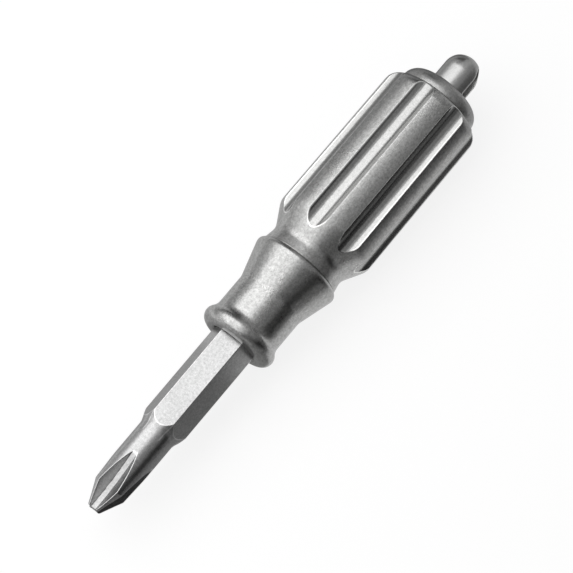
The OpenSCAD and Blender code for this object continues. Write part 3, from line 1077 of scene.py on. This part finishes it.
@dataclass
class EyePost(ShapedPiece):
    """The swivel post with its arched window and its stem. Sizes are in millimetres."""

    role = Role("eye_shaped", "eye_post", "eye", "eye_steel", "eye")
    radius: float = 3.01
    foot: float = CROWN + SEAT_AIR
    dome: float = CROWN + 3.3
    window: float = 1.5
    arch: float = CROWN + 4.2
    sill: float = CROWN + SEAT_AIR + 0.4
    corner: float = 0.5
    rim: float = 0.2
    stem: float = 1.5
    stem_front: float = GRIP_END + 0.3
    stem_turns: int = 96
    stem_sunk: float = 0.1
    foot_rise: float = 0.8
    foot_in: float = 0.6
    rim_rows: int = 6
    # Strength of the painted highlight along the window's rim: where it starts and how it fades across the
    # rounding.
    rim_highlight_start: float = 0.2
    rim_highlight_fade: float = 0.7
    rows: tuple[int, ...] = (44, 16, 24, 16)
    depth_rows: int = 22

    @staticmethod
    def ways(start_deg: float, end_deg: float, count: int) -> np.ndarray:
        """Gives unit directions from one angle toward another, where 0 is up and 90 is to the side."""
        angles = np.radians(np.linspace(start_deg, end_deg, count, endpoint=False))
        return np.column_stack([np.sin(angles), np.cos(angles)])

    @staticmethod
    def slide(start: Point, end: Point, count: int, closed: bool = False) -> np.ndarray:
        """Gives points on the line from one point toward another, with the last one where it is closed."""
        share = np.linspace(0, 1, count + closed, endpoint=closed)[:, None]
        return np.array(start) * (1 - share) + np.array(end) * share

    def half_lines(self) -> tuple[np.ndarray, np.ndarray, np.ndarray]:
        """Gives the window's edge and the post's silhouette, from the top down one side to the sill's middle.

        Returns:
            The window's points, the silhouette's points and the window's outward directions.
        """
        arch_rows, side_rows, turn_rows, sill_rows = self.rows
        middle = np.array([self.window - self.corner, self.sill + self.corner])
        arch = self.ways(0, 90, arch_rows)
        turn = self.ways(90, 180, turn_rows)
        side, sill = self.ways(90, 90, side_rows), self.ways(180, 180, sill_rows + 1)
        inner = [np.array([0, self.arch]) + self.window * arch,
                 self.slide((self.window, self.arch), (self.window, middle[1]), side_rows),
                 middle + self.corner * turn,
                 self.slide((middle[0], self.sill), (0, self.sill), sill_rows, True)]
        knee, foot_in = (self.radius, self.foot + self.foot_rise), (middle[0] + self.foot_in, self.foot)
        outer = [np.array([0, self.dome]) + self.radius * arch,
                 self.slide((self.radius, self.dome), knee, side_rows),
                 self.slide(knee, (self.radius, self.foot), turn_rows // 2),
                 self.slide((self.radius, self.foot), foot_in, turn_rows // 2),
                 self.slide(foot_in, (0, self.foot), sill_rows, True)]
        return np.vstack(inner), np.vstack(outer), np.vstack([arch, side, turn, sill])

    def face(self, points: np.ndarray) -> np.ndarray:
        """Gives how far the post's face stands out at points of its front view."""
        rise = np.maximum(points[:, 1] - self.dome, 0.0)
        return np.sqrt(np.maximum(self.radius ** 2 - points[:, 0] ** 2 - rise ** 2, 0.0))

    def placed(self, points: np.ndarray, depth: np.ndarray, edge: float) -> np.ndarray:
        """Turns points of the front view and their depths into a ring, with the edge's mask.

        Args:
            points: Places across the post and along it.
            depth: How far each stands out of the middle plane.
            edge: The mask of the whole ring, which paints a highlight along the window's rim.

        Returns:
            Points with the mask.
        """
        a = math.radians(EYE_TURN)
        across = points[:, 0]
        return np.column_stack([-points[:, 1], across * math.sin(a) + depth * math.cos(a),
                                across * math.cos(a) - depth * math.sin(a), np.full(len(points), edge)])

    def shape(self, bm: bmesh.types.BMesh) -> None:
        """Shapes the post round its window and adds its stem.

        Args:
            bm: The empty mesh that takes the surface.
        """
        inner, outer, away = self.half_lines()
        flip = np.array([-1.0, 1.0])
        inner, outer, away = (np.vstack([v, (v * flip)[-2::-1]]) for v in (inner, outer, away))
        rim_in = self.face(inner)
        foot = rim_in - self.rim
        # The rows on the window's rim carry a mask that paints a highlight along the rim.
        rows = [(inner, rim_in * 0.0, 0.0), (inner, foot * 0.5, 0.0), (inner, foot, self.rim_highlight_start)]
        shoulder = inner + away * self.rim
        rim_out = self.face(shoulder)
        for i in range(1, self.rim_rows + 1):
            t = i / self.rim_rows
            start, bend, end = (1 - t) ** 2, 2 * t * (1 - t), t * t
            points = inner * (start + bend) + shoulder * end
            rows.append((points, foot * start + rim_in * bend + rim_out * end,
                         1.0 - abs(2 * t - 1) * self.rim_highlight_fade))
        for i in range(1, self.depth_rows + 1):
            t = math.sin(math.pi / 2 * i / self.depth_rows)
            points = shoulder * (1 - t) + outer * t
            rows.append((points, self.face(points), 0.0))
        front = [self.placed(p, d, e) for p, d, e in rows]
        back = [self.placed(p, -d, e) for p, d, e in rows[::-1]]
        loft(bm, [*front, self.placed(outer, rim_in * 0.0, 0.0), *back], ("edge",))
        top = self.foot + self.stem_sunk
        lathe(bm, [(0, self.stem_front), (self.stem, self.stem_front), (self.stem, top), (0, top)],
              turns=self.stem_turns)


class InnerPieces:
    """The pieces inside the tool: their solids are right as they are and get a finish each."""

    finish_of: ClassVar[dict[str, str]] = {
        "socket_magnet": "magnet", "magnet_backing": "backing", "nose_o_ring": "seal",
        "bit_cushion": "cushion", "spare_bit": "spare", "cap_o_ring": "seal",
        "thrust_washer": "washer", "post_collar": "collar"}

    def dress(self, materials: Materials) -> None:
        """Gives each piece its material.

        Args:
            materials: The materials by their keys.
        """
        for node, key in self.finish_of.items():
            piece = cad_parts[node]
            if not piece.material_slots:
                piece.data.materials.append(None)
            for slot in piece.material_slots:
                slot.link = "OBJECT"
                slot.material = materials[key]
            LOG.info("%s dressed", node)


class Glow(Enum):
    """How brightly a card of the light room glows."""

    BLACK = 0.0
    DARK = 0.15
    DIM = 0.3
    HALF = 0.5
    PALE = 0.65
    LIGHT = 0.8
    WHITE = 0.95
    LAMP = 1.2


@dataclass(frozen=True)
class Sheet:
    """One wall of the room of cards round the tool. Sizes are in metres.

    Each axis has the breaks between the cards, or the one place of the wall. The glows run along x, then y,
    then z.
    """

    x: tuple[float, ...]
    y: tuple[float, ...]
    z: tuple[float, ...]
    glow: tuple[Glow, ...]

    def boxes(self) -> list[tuple[Vector, Vector, float]]:
        """Gives the middle, the half size and the glow of each card.

        Returns:
            One row for each card.
        """
        spans = [list(zip(axis, axis[1:])) or [axis * 2] for axis in (self.x, self.y, self.z)]
        cards = []
        for span, glow in zip(itertools.product(*spans), self.glow, strict=True):
            low, high = (Vector(side) for side in zip(*span))
            cards.append(((low + high) / 2, (high - low) / 2, glow.value))
        return cards


BLACK, DARK, DIM, HALF, PALE, LIGHT, WHITE, LAMP = Glow
REAR, FRONT = -0.6, 0.9
NEAR, FAR = -0.6, 0.5
FLOOR, SILL, ROOF = -0.0075, 0.11, 0.302
WALL_X = (REAR, -0.165, 0.25, FRONT)
ROOM = {
    "roof": Sheet((REAR, -0.165, 0.05, 0.3, FRONT), (NEAR, -0.28, -0.15, 0.05, 0.15, FAR), (ROOF,),
                  (HALF, DARK, HALF, HALF, DIM, WHITE, LIGHT, PALE, PALE, DIM,
                   LIGHT, LIGHT, DIM, PALE, DARK, HALF, HALF, DIM, BLACK, DARK)),
    "far wall": Sheet(WALL_X, (FAR,), (FLOOR, ROOF), (DARK, BLACK, DARK)),
    "near wall": Sheet(WALL_X, (NEAR,), (FLOOR, SILL, ROOF), (DIM, DIM, DIM, PALE, HALF, LAMP)),
    "rear wall": Sheet((REAR,), (NEAR, -0.15, 0.12, FAR), (FLOOR, ROOF), (BLACK, HALF, DIM)),
    "front wall": Sheet((FRONT,), (NEAR, FAR), (FLOOR, ROOF), (HALF,)),
    "floor": Sheet((REAR, -0.05, 0.0, FRONT), (NEAR, -0.03, -0.008, 0.025, 0.08, FAR), (FLOOR,),
                   (HALF, DARK, HALF, DARK, BLACK, LIGHT, PALE, LIGHT, DARK, BLACK,
                    WHITE, HALF, DIM, DARK, HALF)),
}


def build_room() -> None:
    """Hangs the cards, which only the reflections on the tool show."""
    bm = bmesh.new()
    layer = bm.faces.layers.float.new("glow")
    for sheet in ROOM.values():
        for middle, half, glow in sheet.boxes():
            sides = [Vector(half[i] if i == k else 0.0 for i in range(3))
                     for k in range(3) if half[k] > 0]
            turn = Matrix((*sides, sides[0].cross(sides[1]).normalized())).transposed().to_4x4()
            card = bmesh.ops.create_grid(bm, x_segments=1, y_segments=1, size=1.0,
                                         matrix=Matrix.Translation(middle) @ turn)
            card["verts"][0].link_faces[0][layer] = glow
    made = bpy.data.materials.new("light_room")
    made.use_nodes = True
    sketch = NodeSketch(made.node_tree)
    glow = sketch.add("Attribute", attribute_name="glow").outputs["Fac"]
    light = sketch.add("Emission", {"Strength": glow})
    sketch.add("OutputMaterial", {"Surface": light.outputs[0]})
    room = linked("light_room", bm, made)
    room.visible_camera = room.visible_diffuse = room.visible_shadow = room.visible_transmission = False


@dataclass
class Studio:
    """The floor, the light and the camera. Sizes are in metres."""

    floor_size: float = 3.0
    floor_glow: float = 0.82
    floor_tone: float = 0.22
    world_fill: float = 0.35
    lamp_height: float = 0.3
    lamp_from: tuple[float, float] = (-0.19, -0.4)
    lamp_to: tuple[float, float] = (0.5, 0.05)
    lamp_radiance: float = 1.37
    lens: float = 219.9
    sensor: float = 36.0
    distance: float = 0.5015
    sharp_range: tuple[float, float] = (0.01, 10.0)
    tilt_deg: float = 13.0
    lean_deg: float = 19.5
    roll: tuple[float, float] = (0.6446, 0.7645)
    target: tuple[float, float] = (-0.01146, 0.000579)

    @staticmethod
    def seen_plainly(sketch: NodeSketch) -> bpy.types.NodeSocket:
        """Gives 1 where the camera sees a surface straight, mirrored or through glass, and 0 otherwise.

        Args:
            sketch: The nodes that take it.

        Returns:
            The value's socket.
        """
        path = sketch.add("LightPath").outputs
        seen = sketch.math("MAXIMUM", path["Is Camera Ray"], path["Is Glossy Ray"])
        return sketch.math("MAXIMUM", seen, path["Is Transmission Ray"])

    def build_floor(self) -> None:
        """Lays the floor under the tool, white where it is lit and with the tool's shadow."""
        bm = bmesh.new()
        bmesh.ops.create_grid(bm, x_segments=1, y_segments=1, size=self.floor_size / 2)
        bmesh.ops.translate(bm, verts=bm.verts[:], vec=(0, 0, CAD_BOX[0].z))
        made = bpy.data.materials.new("pale_floor")
        made.use_nodes = True
        sketch = NodeSketch(made.node_tree)
        strength = sketch.math("MULTIPLY", self.seen_plainly(sketch), self.floor_glow)
        glow = sketch.add("Emission", {"Strength": strength})
        paint = sketch.add("BsdfDiffuse", {"Color": (self.floor_tone,) * 3 + (1.0,)})
        both = sketch.add("AddShader", {0: glow.outputs[0], 1: paint.outputs[0]})
        sketch.add("OutputMaterial", {"Surface": both.outputs[0]})
        linked("floor", bm, made)

    def build_light(self) -> None:
        """Hangs the one large soft light and sets the pale surroundings."""
        (x0, y0), (x1, y1) = self.lamp_from, self.lamp_to
        lamp = bpy.data.lights.new("softbox", "AREA")
        lamp.shape, lamp.size, lamp.size_y = "RECTANGLE", x1 - x0, y1 - y0
        lamp.energy = self.lamp_radiance * math.pi * (x1 - x0) * (y1 - y0)
        holder = bpy.data.objects.new("softbox", lamp)
        holder.location = ((x0 + x1) / 2, (y0 + y1) / 2, self.lamp_height)
        holder.visible_camera = False
        bpy.context.scene.collection.objects.link(holder)
        world = bpy.data.worlds.new("surroundings")
        world.use_nodes = True
        bpy.context.scene.world = world
        sketch = NodeSketch(world.node_tree)
        strength = sketch.ramp(self.seen_plainly(sketch), 0.0, 1.0, self.world_fill, 1.0)
        around = sketch.add("Background", {"Color": (1.0, 1.0, 1.0, 1.0), "Strength": strength})
        sketch.add("OutputWorld", {"Surface": around.outputs[0]})
        build_room()

    def build_camera(self) -> None:
        """Sets the camera at the photograph's angle."""
        lean, tilt = math.radians(self.lean_deg), math.radians(self.tilt_deg)
        up_side = Vector((0, math.sin(lean), math.cos(lean)))
        side = Vector((0, math.cos(lean), -math.sin(lean)))
        along = Vector((-math.cos(tilt), 0, 0)) + math.sin(tilt) * up_side
        back = math.cos(tilt) * up_side + Vector((math.sin(tilt), 0, 0))
        a, b = self.roll
        right, up = a * along + b * side, b * along - a * side
        at = Vector((self.target[0], 0, 0)) + self.target[1] * side + self.distance * back
        data = bpy.data.cameras.new("camera")
        data.lens, data.sensor_width = self.lens, self.sensor
        camera = bpy.data.objects.new("camera", data)
        turn = Matrix((right.normalized(), up.normalized(), back.normalized())).transposed()
        camera.matrix_world = Matrix.Translation(at) @ turn.to_4x4()
        data.clip_start, data.clip_end = self.sharp_range
        bpy.context.scene.collection.objects.link(camera)
        bpy.context.scene.camera = camera

    def build(self) -> None:
        """Sets up the whole studio."""
        bpy.context.scene.view_settings.view_transform = "Standard"
        self.build_floor()
        self.build_light()
        self.build_camera()


def main() -> None:
    """Builds the studio and the pieces in order."""
    logging.basicConfig(level=logging.INFO, format="%(name)s: %(message)s")
    Studio().build()
    materials = build_materials()
    for part in (NoseHolder(), FlutedGrip(), DriverBit(), EndCap(), EyePost()):
        part.build(materials)
    InnerPieces().dress(materials)


if __name__ == "__main__":
    main()
